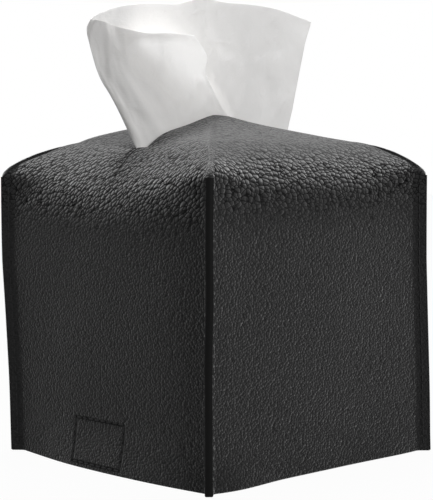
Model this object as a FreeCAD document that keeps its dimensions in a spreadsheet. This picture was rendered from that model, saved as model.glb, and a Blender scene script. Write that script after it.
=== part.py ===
"""A soft leather cover for a cube tissue carton, with the carton and its tissues inside.

The cover is cut as one cross of leather: four walls that run over rounded shoulders into
a tented crown, with a slit for the tissues. The walls meet in four corner seams, whose
plies stand out as flanges. A belt under the carton keeps it in the cover.
+Z is up, the left wall is at -X, the front wall at -Y, and the hem stands on Z = 0.
"""
import FreeCAD, Part
import os
from math import hypot

import Sketcher
from FreeCAD import Placement, Rotation, Vector

# Driving sizes in millimetres, counts, and one angle in degrees
SIZES = {
    # Leather cover, sized by the carton that it holds
    "carton_clearance": 7.4,
    "leather_thickness": 1.6,
    "shoulder_drop": 5.15,
    "shoulder_radius": 23,
    "crown_slope": 19.5,
    "crown_half_width": 12,
    "fold_radius": 3,
    "slit_end_margin": 3.2,
    "slit_width": 10,
    # Corner seams
    "flange_width": 4,
    "seam_rise": 9,
    "ear_radius": 38,
    "edge_bead": 0.5,
    # Lining
    "lining_thickness": 0.5,
    "lining_hem": 3,
    # Stitches
    "stitch_spacing": 4,
    "stitch_length": 3.2,
    "thread_width": 0.7,
    "thread_rise": 0.35,
    "seam_stitch_inset": 3,
    "seam_stitch_margin": 3,
    # Belt under the carton
    "belt_width": 36,
    "belt_offset": 3.5,
    "strap_thickness": 1.2,
    "tab_height": 24,
    "box_stitch_inset": 2.2,
    "box_stitch_bottom": 3.2,
    "box_stitch_height": 18.5,
    "keeper_length": 44,
    "bend_radius": 1,
    "tip_radius": 8,
    "tab_corner_radius": 1.5,
    "pull_tab_length": 9,
    "floor_gap": 0.4,
    "fold_gap": 0.2,
    # Hook and loop patches
    "patch_length": 26,
    "patch_inset": 3,
    "patch_thickness": 0.9,
    "patch_corner_radius": 2,
    "patch_stitch_inset": 1.8,
    "patch_gap": 0.2,
    # Tissue carton
    "carton_width": 108,
    "carton_height": 114,
    "board_thickness": 0.6,
    "carton_opening_margin": 3,
    "carton_opening_width": 46,
    "film_thickness": 0.2,
    "film_margin": 6,
    "film_slit_inset": 2,
    "film_slit_width": 8.4,
    # Tissues
    "stack_gap": 1.5,
    "stack_height": 42,
    "stack_pairs": 10,
    "tissue_thickness": 2,
    "tissue_fold_gap": 1,
    "tissue_clearance": 1,
    "tissue_rest_gap": 0.3,
    "tissue_rise": 58.2,
    "tissue_spread": 60,
    "tissue_depth": 22,
    "tissue_front_drop": 6,
    "tissue_left_drop": 3,
    # Reach of a cut past the face that it opens
    "overrun": 5,
}

# Points of a sketch closer than this are the same point
TOUCH = 1e-6

# Rounding of a folded tissue's edge, as a share of its thickness
FOLD_SHARE = 0.45

# Raised tissue, in plan: its middle line where it leaves the slit and at its top, from the
# right end along the back layer, round the left fold and along the front flap to its free
# edge, as shares of the neck's half length or the spread and of the fold or the depth
NECK_X_SHARES = (1, 0.5, 0, -0.5, -1, -1.035, -1, -0.72, -0.42, -0.1, 0.2)
NECK_Y_SHARES = (1, 1.1, 1, 1.1, 1, 0, -1, -1.1, -1, -1.1, -1)
TOP_X_SHARES = (0.9, 0.52, 0.1, -0.42, -0.96, -1, -0.94, -0.86, -0.68, -0.56, -0.42)
TOP_Y_SHARES = (-0.1, 0.2, 0.16, 0.62, 0.97, 0.86, 0.72, 0.1, -0.5, -0.76, -0.7)
# Levels of the fan above the slit's end, and how far each has opened in width and depth
FAN_HEIGHT_SHARES = (0, 0.2, 0.45, 0.72, 1)
FAN_WIDTH_SHARES = (0, 0.35, 0.62, 0.85, 1)
FAN_DEPTH_SHARES = (0, 0.06, 0.35, 0.7, 1)

doc = FreeCAD.newDocument("TissueBoxCover")
sheet = doc.addObject("Spreadsheet::Sheet", "sizes")
for row, (alias, size) in enumerate(SIZES.items(), 1):
    sheet.set(f"A{row}", alias)
    sheet.set(f"B{row}", str(size))
    sheet.setAlias(f"B{row}", alias)
doc.recompute()


def number(expression):
    """The value of an expression on the sheet's cells."""
    result = sheet.evalExpression(expand(expression))
    return float(getattr(result, "Value", result))


def expand(expression):
    """An expression with each size's name pointed at its cell."""
    words = []
    word = ""
    for letter in f"{expression} ":
        if letter.isalnum() or letter == "_":
            word += letter
            continue
        words.append(f"sizes.{word}" if word in SIZES else word)
        words.append(letter)
        word = ""
    return "".join(words).strip()


def bind(target, prop, expression):
    """Tie a property to an expression on the sheet."""
    target.setExpression(prop, expand(expression))


# Places that several pieces share, as expressions on the sizes
HALF = "(carton_width / 2 + carton_clearance + lining_thickness + leather_thickness)"
ROOT2 = "sqrt(2)"
LINED_HALF = f"({HALF} - leather_thickness - lining_thickness)"
TAB_MIDDLE = f"({LINED_HALF} - strap_thickness / 2)"
SEAM_TIP = f"({HALF} * {ROOT2} + flange_width)"
STRAP_MIDDLE = "(floor_gap + strap_thickness / 2)"
HOOK_BOTTOM = "(floor_gap + strap_thickness)"
LOOP_BOTTOM = f"({HOOK_BOTTOM} + patch_thickness + patch_gap)"
KEEPER_BOTTOM = f"({LOOP_BOTTOM} + patch_thickness)"
CARTON_BOTTOM = f"({KEEPER_BOTTOM} + strap_thickness + thread_rise)"
CARTON_TOP = f"({CARTON_BOTTOM} + carton_height)"
STACK_TOP = f"({CARTON_BOTTOM} + board_thickness + stack_height)"
WALL_TOP = f"({CARTON_TOP} - shoulder_drop)"
SEAM_TOP = f"({WALL_TOP} + seam_rise)"
ARC_TURN = "(90 - crown_slope)"
ARC_HALF = f"({HALF} - shoulder_radius * (1 - sin(crown_slope)))"
ARC_TOP = f"({WALL_TOP} + shoulder_radius * cos(crown_slope))"
CROWN_TOP = f"({ARC_TOP} + ({ARC_HALF} - crown_half_width) * tan(crown_slope))"
SLIT_LENGTH = f"(2 * ({ARC_HALF} - slit_end_margin))"
SLIT_END_HEIGHT = f"({ARC_TOP} + slit_end_margin * tan(crown_slope))"
FILM_SLIT_LENGTH = f"({SLIT_LENGTH} - 2 * film_slit_inset)"
OPENING_LENGTH = f"({FILM_SLIT_LENGTH} + 2 * carton_opening_margin)"
KEEPER_END = f"({LINED_HALF} - keeper_length)"
PATCH_MIDDLE = f"({KEEPER_END} + patch_inset + patch_length / 2)"
BELT_END = f"({PATCH_MIDDLE} + patch_length / 2 + pull_tab_length)"
BOX_STITCH_WIDTH = "(belt_width - 2 * box_stitch_inset)"


def new_body(name):
    """A body named for its sub-part."""
    body = doc.addObject("PartDesign::Body", name)
    body.Label = name
    return body


def origin_feature(body, role):
    """One of a body's own planes or axes."""
    return next(item for item in body.Origin.OriginFeatures if item.Role == role)


def new_sketch(body, name, plane="XY_Plane", offset=None, turn=None):
    """A sketch on a body's plane, moved off it by expressions and turned about its own Y."""
    sketch = body.newObject("Sketcher::SketchObject", name)
    sketch.AttachmentSupport = [(origin_feature(body, plane), "")]
    sketch.MapMode = "FlatFace"
    if turn is not None:
        sketch.AttachmentOffset = Placement(Vector(), Rotation(Vector(0, 1, 0), turn))
    for axis, expression in (offset or {}).items():
        bind(sketch, f"AttachmentOffset.Base.{axis}", expression)
    return sketch


def dimension(sketch, name, expression, *constraint):
    """A named dimension that follows an expression."""
    sketch.addConstraint(Sketcher.Constraint(*constraint, number(expression)))
    sketch.renameConstraint(sketch.ConstraintCount - 1, name)
    bind(sketch, f"Constraints.{name}", expression)


def outline(sketch, corners):
    """A closed outline of level and upright sides, starting with a level one.

    Each corner is a pair of expressions, or three where a radius rounds it."""
    count = len(corners)
    places = [Vector(number(corner[0]), number(corner[1]), 0) for corner in corners]
    radii = [corner[2] if len(corner) > 2 else None for corner in corners]
    first = sketch.GeometryCount
    starts = []
    stops = []
    for index, place in enumerate(places):
        ahead = (places[(index + 1) % count] - place).normalize()
        behind = (places[index - 1] - place).normalize()
        reach = number(radii[index]) if radii[index] else 0
        stops.append(place + behind * reach)
        starts.append(place + ahead * reach)
    for index in range(count):
        sketch.addGeometry(Part.LineSegment(starts[index], stops[(index + 1) % count]), False)
    for index in range(count):
        before = first + (index - 1) % count
        here = first + index
        level = index % 2 == 0
        sketch.addConstraint(Sketcher.Constraint("Horizontal" if level else "Vertical", here))
        kind = "DistanceY" if level else "DistanceX"
        dimension(sketch, f"side{here}", corners[index][1 if level else 0], kind, -1, 1, here, 1)
        if not radii[index]:
            sketch.addConstraint(Sketcher.Constraint("Coincident", before, 2, here, 1))
            continue
        centre = stops[index] + starts[index] - places[index]
        middle = centre + (places[index] - centre).normalize() * number(radii[index])
        arc = sketch.addGeometry(Part.Arc(stops[index], middle, starts[index]), False)
        ends = (1, 2) if sketch.getPoint(arc, 1).distanceToPoint(stops[index]) < TOUCH else (2, 1)
        sketch.addConstraint(Sketcher.Constraint("Tangent", before, 2, arc, ends[0]))
        sketch.addConstraint(Sketcher.Constraint("Tangent", arc, ends[1], here, 1))
        dimension(sketch, f"corner{arc}", radii[index], "Radius", arc)


def rectangle(sketch, left, right, bottom, top, radius=None):
    """A rectangle between four lines, with round corners where a radius is given."""
    corners = [(left, bottom), (right, bottom), (right, top), (left, top)]
    outline(sketch, [(x, y, radius) if radius else (x, y) for x, y in corners])


def rounded_square(sketch, half, radius):
    """A centred square with round corners."""
    rectangle(sketch, f"-({half})", half, f"-({half})", half, radius)


def slot(sketch, length, width):
    """A centred slot with round ends, along X."""
    radius = number(width) / 2
    reach = number(length) / 2 - radius
    right_low = Vector(reach, -radius, 0)
    right_high = Vector(reach, radius, 0)
    left_high = Vector(-reach, radius, 0)
    left_low = Vector(-reach, -radius, 0)
    sketch.addGeometry(Part.LineSegment(left_low, right_low), False)
    sketch.addGeometry(Part.Arc(right_low, Vector(reach + radius, 0, 0), right_high), False)
    sketch.addGeometry(Part.LineSegment(right_high, left_high), False)
    sketch.addGeometry(Part.Arc(left_high, Vector(-reach - radius, 0, 0), left_low), False)
    for edge in range(4):
        sketch.addConstraint(Sketcher.Constraint("Tangent", edge, 2, (edge + 1) % 4, 1))
    sketch.addConstraint(Sketcher.Constraint("Equal", 1, 3))
    sketch.addConstraint(Sketcher.Constraint("Symmetric", 1, 3, 3, 3, -1, 1))
    sketch.addConstraint(Sketcher.Constraint("Horizontal", 0))
    dimension(sketch, "reach", f"{length} - {width}", "DistanceX", 3, 3, 1, 3)
    dimension(sketch, "end_radius", f"{width} / 2", "Radius", 1)


def closed_line(sketch, corners, middle, arc_size):
    """A closed outline of straight sides, closed by an arc through a middle point.

    The arc runs from the last corner to the first, and its name and radius are given."""
    places = [Vector(number(x), number(y), 0) for x, y in corners]
    last = len(corners) - 1
    for side in range(last):
        sketch.addGeometry(Part.LineSegment(places[side], places[side + 1]), False)
    bow = Vector(number(middle[0]), number(middle[1]), 0)
    arc = sketch.addGeometry(Part.Arc(places[last], bow, places[0]), False)
    ends = (1, 2) if sketch.getPoint(arc, 1).distanceToPoint(places[last]) < TOUCH else (2, 1)
    for side in range(last - 1):
        sketch.addConstraint(Sketcher.Constraint("Coincident", side, 2, side + 1, 1))
    sketch.addConstraint(Sketcher.Constraint("Coincident", last - 1, 2, arc, ends[0]))
    sketch.addConstraint(Sketcher.Constraint("Coincident", arc, ends[1], 0, 1))
    for index, (x, y) in enumerate(corners):
        side, end = (index, 1) if index < last else (last - 1, 2)
        dimension(sketch, f"x{index}", x, "DistanceX", -1, 1, side, end)
        dimension(sketch, f"y{index}", y, "DistanceY", -1, 1, side, end)
    name, radius = arc_size
    dimension(sketch, name, radius, "Radius", arc)


def pad(body, name, sketch, length, midplane=False, down=False):
    """Material raised from a sketch."""
    feature = body.newObject("PartDesign::Pad", name)
    feature.Profile = sketch
    feature.Midplane = midplane
    feature.Reversed = down
    bind(feature, "Length", length)
    doc.recompute()
    return feature


def pocket(body, name, sketch, length, up=False, midplane=False):
    """Material cut away from a sketch's outline, downwards unless it is said otherwise."""
    feature = body.newObject("PartDesign::Pocket", name)
    before = body.Shape.Volume
    feature.Profile = sketch
    feature.Reversed = up
    feature.Midplane = midplane
    bind(feature, "Length", length)
    doc.recompute()
    if body.Shape.Volume >= before:
        raise RuntimeError(f"{name} cuts nothing")
    return feature


def row_of(body, name, features, axis, count, length):
    """Copies of features in a row along one of the body's axes."""
    pattern = body.newObject("PartDesign::LinearPattern", name)
    pattern.Originals = features
    pattern.Direction = (origin_feature(body, axis), [""])
    bind(pattern, "Occurrences", count)
    bind(pattern, "Length", length)
    body.Tip = pattern
    doc.recompute()
    return pattern


def four_times(body, name, features):
    """Copies of features round the cover's four sides or corners."""
    pattern = body.newObject("PartDesign::PolarPattern", name)
    pattern.Originals = features
    pattern.Axis = (origin_feature(body, "Z_Axis"), [""])
    pattern.Angle = 360
    pattern.Occurrences = 4
    body.Tip = pattern
    doc.recompute()
    return pattern


def skin_block(name, depth, bottom="0"):
    """The space under the leather's outer face, at a depth below it: walls, shoulders and crown."""
    body = new_body(name)
    half = f"({HALF} - {depth})"
    turn = f"(shoulder_radius - {depth})"
    arc_half = f"({half} - {turn} * (1 - sin(crown_slope)))"
    arc_top = f"({WALL_TOP} + {turn} * cos(crown_slope))"
    crown_half = f"(crown_half_width - {depth} * (1 / cos(crown_slope) - 1) / tan(crown_slope))"
    crown_top = f"({CROWN_TOP} - {depth})"
    square = new_sketch(body, f"{name}_outline", offset={"z": bottom})
    rounded_square(square, half, f"fold_radius - {depth}")
    pad(body, f"{name}_walls", square, f"{crown_top} - {bottom}")
    # What is cut from above one shoulder: from the wall's top round its arc, up the slope
    # to the crown's flat middle, and back outside the block
    outside = f"({half} + overrun)"
    above = f"({crown_top} + overrun)"
    corners = [(half, WALL_TOP), (outside, WALL_TOP), (outside, above), (crown_half, above),
               (crown_half, crown_top), (arc_half, arc_top)]
    middle = (f"{half} - {turn} * (1 - cos({ARC_TURN} / 2))", f"{WALL_TOP} + {turn} * sin({ARC_TURN} / 2)")
    sketch = new_sketch(body, f"{name}_shoulder", "XZ_Plane")
    closed_line(sketch, corners, middle, ("turn", turn))
    cut = pocket(body, f"{name}_shoulder_cut", sketch, f"2 * {outside}", midplane=True)
    four_times(body, f"{name}_shoulders", [cut])
    return body


def cut_slit(body, name):
    """Cut the tissue slit down through the crown."""
    sketch = new_sketch(body, f"{name}_outline", offset={"z": f"{CROWN_TOP} + overrun"})
    slot(sketch, SLIT_LENGTH, "slit_width")
    pocket(body, name, sketch, f"{CROWN_TOP} - {WALL_TOP} + overrun")


def shell(name, block, room):
    """What is left of a block when the room inside it is cut away."""
    cut = doc.addObject("Part::Cut", name)
    cut.Label = name
    cut.Base = block
    cut.Tool = room
    return cut


def leather_cover():
    """Walls, shoulders and crown of one skin, with the seam flanges and their ears."""
    body = skin_block("skin", "0")
    # The two plies of a seam stand out at the corner. Above the stitches the leather is
    # folded on itself, and that ear runs in along the crown's hip.
    ear_end = f"({ARC_HALF} * {ROOT2} - 2 * leather_thickness)"
    ear_top = f"({ARC_TOP} - leather_thickness / 2)"
    chord = f"sqrt(({SEAM_TIP} - {ear_end}) ^ 2 + ({ear_top} - {SEAM_TOP}) ^ 2)"
    sagitta = f"(ear_radius - sqrt(ear_radius ^ 2 - {chord} ^ 2 / 4))"
    middle = (f"({SEAM_TIP} + {ear_end}) / 2 + {sagitta} * ({ear_top} - {SEAM_TOP}) / {chord}",
              f"({SEAM_TOP} + {ear_top}) / 2 + {sagitta} * ({SEAM_TIP} - {ear_end}) / {chord}")
    corners = [(ear_end, ear_top), (ear_end, "0"), (SEAM_TIP, "0"), (SEAM_TIP, SEAM_TOP)]
    profile = new_sketch(body, "seam_profile", "XZ_Plane", turn=45)
    closed_line(profile, corners, middle, ("ear", "ear_radius"))
    flange = pad(body, "seam_flange", profile, "2 * leather_thickness", midplane=True)
    four_times(body, "seam_flanges", [flange])
    cut_slit(body, "slit")
    return shell("leather_cover", body, skin_block("cavity", "leather_thickness"))


def cover_lining():
    """Thin lining bonded inside the leather, stopping short of the hem."""
    body = skin_block("lining", "leather_thickness", "lining_hem")
    cut_slit(body, "lining_slit")
    return shell("cover_lining", body, skin_block("lined_room", "(leather_thickness + lining_thickness)"))


def seam_edge_paint():
    """Beads of edge paint that cap the two plies of each seam."""
    body = new_body("seam_edge_paint")
    profile = new_sketch(body, "bead_profile")
    less = f"(({SEAM_TIP} - leather_thickness) / {ROOT2})"
    more = f"(({SEAM_TIP} + leather_thickness) / {ROOT2})"
    crest = f"({SEAM_TIP} + edge_bead) / {ROOT2}"
    radius = "(leather_thickness ^ 2 + edge_bead ^ 2) / (2 * edge_bead)"
    closed_line(profile, [(less, more), (more, less)], (crest, crest), ("bead_radius", radius))
    bead = pad(body, "bead", profile, SEAM_TOP)
    four_times(body, "beads", [bead])
    return body


def stitch_ring(sketch, start, length, low, high, upright):
    """One stitch: thread over both faces of the plies and through them at its ends."""
    outer = (f"({start})", f"({start} + {length})", f"({low} - thread_rise)", f"({high} + thread_rise)")
    inner = (f"({start} + thread_width)", f"({start} + {length} - thread_width)", low, high)
    for left, right, bottom, top in (outer, inner):
        if upright:
            rectangle(sketch, bottom, top, left, right)
        else:
            rectangle(sketch, left, right, bottom, top)


def seam_thread(name, turn):
    """The row of stitches down one corner seam."""
    body = new_body(name)
    sketch = new_sketch(body, "stitch", "XZ_Plane", offset={"z": f"{SEAM_TIP} - seam_stitch_inset"})
    plies = ("-leather_thickness", "leather_thickness")
    stitch_ring(sketch, "seam_stitch_margin", "stitch_length", *plies, upright=True)
    stitch = pad(body, "first_stitch", sketch, "thread_width", midplane=True)
    run = f"({SEAM_TOP} - 2 * seam_stitch_margin - stitch_length)"
    count = f"floor({run} / stitch_spacing) + 1"
    row_of(body, "stitch_row", [stitch], "Z_Axis", count, f"floor({run} / stitch_spacing) * stitch_spacing")
    body.Placement = Placement(Vector(), Rotation(Vector(0, 0, 1), turn))
    return body


def box_stitch(name, through, low, high, middles, sizes):
    """A rectangle of stitches through plies that lie between two faces.

    through is the axis that the stitches pass along, and the two other axes, in order,
    have the middles and the lengths of the rectangle's sides."""
    body = new_body(name)
    sides = [axis for axis in "XYZ" if axis != through]
    for index, axis in enumerate(sides):
        other = sides[1 - index]
        plane = "".join(sorted(through + axis))
        run = f"({sizes[index]} - 2 * thread_width - stitch_length)"
        steps = f"floor({run} / stitch_spacing)"
        start = f"({middles[index]} - ({steps} * stitch_spacing + stitch_length) / 2)"
        height = f"({middles[1 - index]} - {sizes[1 - index]} / 2)"
        sketch = new_sketch(body, f"stitch_along_{axis}", f"{plane}_Plane",
                            offset={"z": f"-{height}" if plane == "XZ" else height})
        stitch_ring(sketch, start, "stitch_length", low, high, upright=plane.index(axis) == 1)
        stitch = pad(body, f"first_stitch_{axis}", sketch, "thread_width", midplane=True)
        reach = f"{steps} * stitch_spacing"
        pattern = row_of(body, f"rows_{axis}", [stitch], f"{axis}_Axis", f"{steps} + 1", reach)
        pattern.Direction2 = (origin_feature(body, f"{other}_Axis"), [""])
        pattern.Occurrences2 = 2
        bind(pattern, "Length2", sizes[1 - index])
        doc.recompute()
    return body


def belt_anchor_tab():
    """The belt's sewn end, flat against the left wall down to the belt's fold."""
    body = new_body("belt_anchor_tab")
    sketch = new_sketch(body, "tab_outline", "YZ_Plane", offset={"z": f"-{LINED_HALF}"})
    fold_top = f"{STRAP_MIDDLE} + strap_thickness / 2 + fold_gap"
    left = "belt_offset - belt_width / 2"
    right = "belt_offset + belt_width / 2"
    outline(sketch, [(left, fold_top), (right, fold_top), (right, "tab_height", "tab_corner_radius"),
                     (left, "tab_height", "tab_corner_radius")])
    pad(body, "tab", sketch, "strap_thickness")
    return body


def belt_strap():
    """The belt's free length under the carton, which swings down about its fold."""
    body = new_body("belt_strap")
    sketch = new_sketch(body, "strap_outline", offset={"z": "floor_gap"})
    left = "belt_offset - belt_width / 2"
    right = "belt_offset + belt_width / 2"
    outline(sketch, [(f"-{TAB_MIDDLE}", left), (BELT_END, left, "tip_radius"),
                     (BELT_END, right, "tip_radius"), (f"-{TAB_MIDDLE}", right)])
    pad(body, "strap", sketch, "strap_thickness")
    fold = new_sketch(body, "fold_circle", "XZ_Plane", offset={"z": "-belt_offset"})
    centre = Vector(-number(TAB_MIDDLE), number(STRAP_MIDDLE), 0)
    fold.addGeometry(Part.Circle(centre, Vector(0, 0, 1), number("strap_thickness / 2")), False)
    dimension(fold, "fold_x", f"-{TAB_MIDDLE}", "DistanceX", -1, 1, 0, 3)
    dimension(fold, "fold_y", STRAP_MIDDLE, "DistanceY", -1, 1, 0, 3)
    dimension(fold, "fold_radius", "strap_thickness / 2", "Radius", 0)
    pad(body, "fold", fold, "belt_width", midplane=True)
    return body


def keeper_strap():
    """The short strap sewn to the right wall, bent in under the carton over the belt's end."""
    body = new_body("keeper_strap")
    sketch = new_sketch(body, "keeper_profile", "XZ_Plane", offset={"z": "-belt_offset"})
    inside = f"({LINED_HALF} - strap_thickness)"
    top = f"({KEEPER_BOTTOM} + strap_thickness)"
    outer_bend = "bend_radius + strap_thickness"
    outline(sketch, [(KEEPER_END, KEEPER_BOTTOM), (LINED_HALF, KEEPER_BOTTOM, outer_bend),
                     (LINED_HALF, "tab_height"), (inside, "tab_height"),
                     (inside, top, "bend_radius"), (KEEPER_END, top)])
    pad(body, "keeper", sketch, "belt_width", midplane=True)
    return body


def fastener_patch(name, bottom):
    """A patch of hooks or of loops, sewn to its strap."""
    body = new_body(name)
    sketch = new_sketch(body, "patch_outline", offset={"x": PATCH_MIDDLE, "y": "belt_offset", "z": bottom})
    half_width = "(belt_width / 2 - patch_inset)"
    half_length = "(patch_length / 2)"
    rectangle(sketch, f"-{half_length}", half_length, f"-{half_width}", half_width, "patch_corner_radius")
    pad(body, "patch", sketch, "patch_thickness")
    return body


def tissue_carton():
    """A square board carton with a long opening in its top."""
    body = new_body("tissue_carton")
    sketch = new_sketch(body, "carton_outline", offset={"z": CARTON_BOTTOM})
    rounded_square(sketch, "carton_width / 2", "2 * board_thickness")
    pad(body, "carton_block", sketch, "carton_height - board_thickness")
    room = new_sketch(body, "carton_room", offset={"z": f"{CARTON_BOTTOM} + board_thickness"})
    rounded_square(room, "carton_width / 2 - board_thickness", "board_thickness")
    pocket(body, "room", room, "carton_height", up=True)
    lid = new_sketch(body, "lid_outline", offset={"z": f"{CARTON_TOP} - board_thickness"})
    slot(lid, OPENING_LENGTH, "carton_opening_width")
    rounded_square(lid, "carton_width / 2", "2 * board_thickness")
    pad(body, "lid", lid, "board_thickness")
    return body


def carton_film():
    """The clear film under the carton's opening, with the slit that holds a tissue up."""
    body = new_body("carton_film")
    sketch = new_sketch(body, "film_outline", offset={"z": f"{CARTON_TOP} - board_thickness"})
    slot(sketch, FILM_SLIT_LENGTH, "film_slit_width")
    half_x = f"({OPENING_LENGTH} / 2 + film_margin)"
    half_y = "(carton_opening_width / 2 + film_margin)"
    rectangle(sketch, f"-{half_x}", half_x, f"-{half_y}", half_y)
    pad(body, "film", sketch, "film_thickness", down=True)
    return body


def tissue_stack():
    """The folded tissues, their folds on either side by turns."""
    body = new_body("tissue_stack")
    leaf = "(stack_height / stack_pairs / 2)"
    half = "(carton_width / 2 - board_thickness - stack_gap)"
    bottom = f"({CARTON_BOTTOM} + board_thickness)"
    leaves = []
    for index, name in enumerate(("left_leaf", "right_leaf")):
        sketch = new_sketch(body, f"{name}_profile", "YZ_Plane")
        low = f"({bottom} + {index} * {leaf})"
        high = f"({low} + {leaf})"
        fold = f"{leaf} * {FOLD_SHARE}"
        sides = [(f"-{half}", low), (half, low), (half, high), (f"-{half}", high)]
        folded = (0, 3) if index == 0 else (1, 2)
        outline(sketch, [side + ((fold,) if corner in folded else ()) for corner, side in enumerate(sides)])
        leaves.append(pad(body, name, sketch, f"2 * {half}", midplane=True))
    row_of(body, "leaves", leaves, "Z_Axis", "stack_pairs", f"(stack_pairs - 1) * 2 * {leaf}")
    return body


def raised_tissue():
    """The tissue that stands out of the slit, folded double, with its tail down to the stack."""
    neck = number(f"{FILM_SLIT_LENGTH} / 2 - 2 * tissue_clearance - tissue_thickness")
    fold_half = number("(tissue_fold_gap + tissue_thickness) / 2")
    spread = number("tissue_spread")
    depth = number("tissue_depth")
    ply_half = number("tissue_thickness / 2")
    front_drop = number("tissue_front_drop")
    left_drop = number("tissue_left_drop")
    base = number(SLIT_END_HEIGHT)
    rise = number("tissue_rise")

    def section(height, wide, deep):
        """A closed outline either side of the tissue's middle line."""
        line = []
        for neck_x, neck_y, top_x, top_y in zip(NECK_X_SHARES, NECK_Y_SHARES, TOP_X_SHARES, TOP_Y_SHARES):
            x = neck * neck_x + (spread * top_x - neck * neck_x) * wide
            y = fold_half * neck_y + (depth * top_y - fold_half * neck_y) * deep
            line.append((x, y))
        faces = ([], [])
        for index, (x, y) in enumerate(line):
            x0, y0 = line[max(index - 1, 0)]
            x1, y1 = line[min(index + 1, len(line) - 1)]
            step = hypot(x1 - x0, y1 - y0)
            for face, side in zip(faces, (1, -1)):
                across_x = x - side * ply_half * (y1 - y0) / step
                across_y = y + side * ply_half * (x1 - x0) / step
                tilt = front_drop * across_y / depth + left_drop * across_x / spread
                face.append(Vector(across_x, across_y, height + deep * tilt))
        loop = (faces[0], faces[1][::-1])
        edges = []
        for face, after in zip(loop, loop[::-1]):
            for index in range(0, len(face) - 1, 2):
                edges.append(Part.Arc(face[index], face[index + 1], face[index + 2]).toShape())
            edges.append(Part.LineSegment(face[-1], after[0]).toShape())
        return Part.Wire(edges)

    foot = number(f"{STACK_TOP} + tissue_rest_gap")
    tail = Part.makeLoft([section(foot, 0, 0), section(base, 0, 0)], True, True)
    levels = zip(FAN_HEIGHT_SHARES, FAN_WIDTH_SHARES, FAN_DEPTH_SHARES)
    sections = [section(base + rise * height, wide, deep) for height, wide, deep in levels]
    feature = doc.addObject("Part::Feature", "raised_tissue")
    feature.Label = "raised_tissue"
    feature.Shape = tail.fuse(Part.makeLoft(sections, True, True))
    return feature


def check_shapes(bodies):
    """Stop if any feature failed or any sub-part is not a sound solid."""
    for item in doc.Objects:
        if "Invalid" in item.State or "Error" in item.State:
            raise RuntimeError(f"{item.Name} failed: {item.State}")
    for body in bodies:
        shape = body.Shape
        if shape.isNull() or not shape.isValid() or not shape.Solids:
            raise RuntimeError(f"{body.Label} is not a sound solid")


def main():
    """Build every sub-part and write each to its own file."""
    bodies = [leather_cover(), cover_lining(), seam_edge_paint()]
    for name, turn in (("front_left", -45), ("front_right", 45), ("back_right", 135), ("back_left", 225)):
        bodies.append(seam_thread(f"seam_thread_{name}", turn))
    bodies += [belt_anchor_tab(), belt_strap(), keeper_strap()]
    bodies += [fastener_patch("hook_patch", HOOK_BOTTOM), fastener_patch("loop_patch", LOOP_BOTTOM)]
    box_middles = ("belt_offset", "(box_stitch_bottom + box_stitch_height / 2)")
    box_sizes = (BOX_STITCH_WIDTH, "box_stitch_height")
    tab_inside = f"({LINED_HALF} - strap_thickness)"
    box_places = (box_middles, box_sizes)
    bodies.append(box_stitch("belt_anchor_thread", "X", f"-{HALF}", f"-{tab_inside}", *box_places))
    bodies.append(box_stitch("keeper_anchor_thread", "X", tab_inside, HALF, *box_places))
    patch_middles = (PATCH_MIDDLE, "belt_offset")
    patch_sizes = ("(patch_length - 2 * patch_stitch_inset)",
                   "(belt_width - 2 * patch_inset - 2 * patch_stitch_inset)")
    # Stitches sink into the patches' pile, flush with its face
    hook_face = f"({HOOK_BOTTOM} + patch_thickness - thread_rise)"
    loop_face = f"({LOOP_BOTTOM} + thread_rise)"
    keeper_top = f"({KEEPER_BOTTOM} + strap_thickness)"
    bodies.append(box_stitch("hook_patch_thread", "Z", "floor_gap", hook_face, patch_middles, patch_sizes))
    bodies.append(box_stitch("loop_patch_thread", "Z", loop_face, keeper_top, patch_middles, patch_sizes))
    bodies += [tissue_carton(), carton_film(), tissue_stack(), raised_tissue()]
    doc.recompute()
    check_shapes(bodies)
    os.makedirs("parts", exist_ok=True)
    for body in bodies:
        body.Shape.exportStep(f"parts/{body.Label}.step")
        box = body.Shape.BoundBox
        print(f"{body.Label}: {len(body.Shape.Solids)} solids, {body.Shape.Volume:.1f} mm3, "
              f"X {box.XMin:.2f} to {box.XMax:.2f}, Y {box.YMin:.2f} to {box.YMax:.2f}, "
              f"Z {box.ZMin:.2f} to {box.ZMax:.2f}")


main()
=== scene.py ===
import math

import bpy
from bpy.props import FloatProperty, FloatVectorProperty, IntProperty, PointerProperty
from mathutils import Matrix, Vector, noise


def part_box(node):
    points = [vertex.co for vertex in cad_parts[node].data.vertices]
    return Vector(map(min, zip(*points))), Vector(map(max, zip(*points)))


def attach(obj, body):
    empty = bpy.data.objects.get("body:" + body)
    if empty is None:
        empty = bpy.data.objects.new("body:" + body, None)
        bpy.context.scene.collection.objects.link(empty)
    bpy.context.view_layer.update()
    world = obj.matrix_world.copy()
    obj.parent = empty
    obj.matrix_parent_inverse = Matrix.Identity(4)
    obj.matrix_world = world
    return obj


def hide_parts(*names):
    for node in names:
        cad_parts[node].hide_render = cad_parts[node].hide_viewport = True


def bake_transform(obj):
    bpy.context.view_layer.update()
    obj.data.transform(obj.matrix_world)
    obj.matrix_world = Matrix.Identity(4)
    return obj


bl_info = {
    "name": "Leather tissue box cover",
    "version": (1, 0, 0),
    "blender": (4, 5, 0),
    "location": "View3D > Sidebar > Tissue Cover",
    "description": "Models a soft leather tissue box cover over its CAD frame, with its tissue",
    "category": "Add Mesh",
}

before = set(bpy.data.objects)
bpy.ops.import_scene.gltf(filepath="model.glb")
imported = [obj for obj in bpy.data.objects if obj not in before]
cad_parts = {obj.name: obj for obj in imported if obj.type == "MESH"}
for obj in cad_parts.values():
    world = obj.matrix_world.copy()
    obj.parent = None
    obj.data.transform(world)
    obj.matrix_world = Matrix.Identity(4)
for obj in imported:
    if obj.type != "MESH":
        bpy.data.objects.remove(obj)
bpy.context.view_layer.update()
MM = 0.001
ROOT2 = math.sqrt(2)

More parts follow.
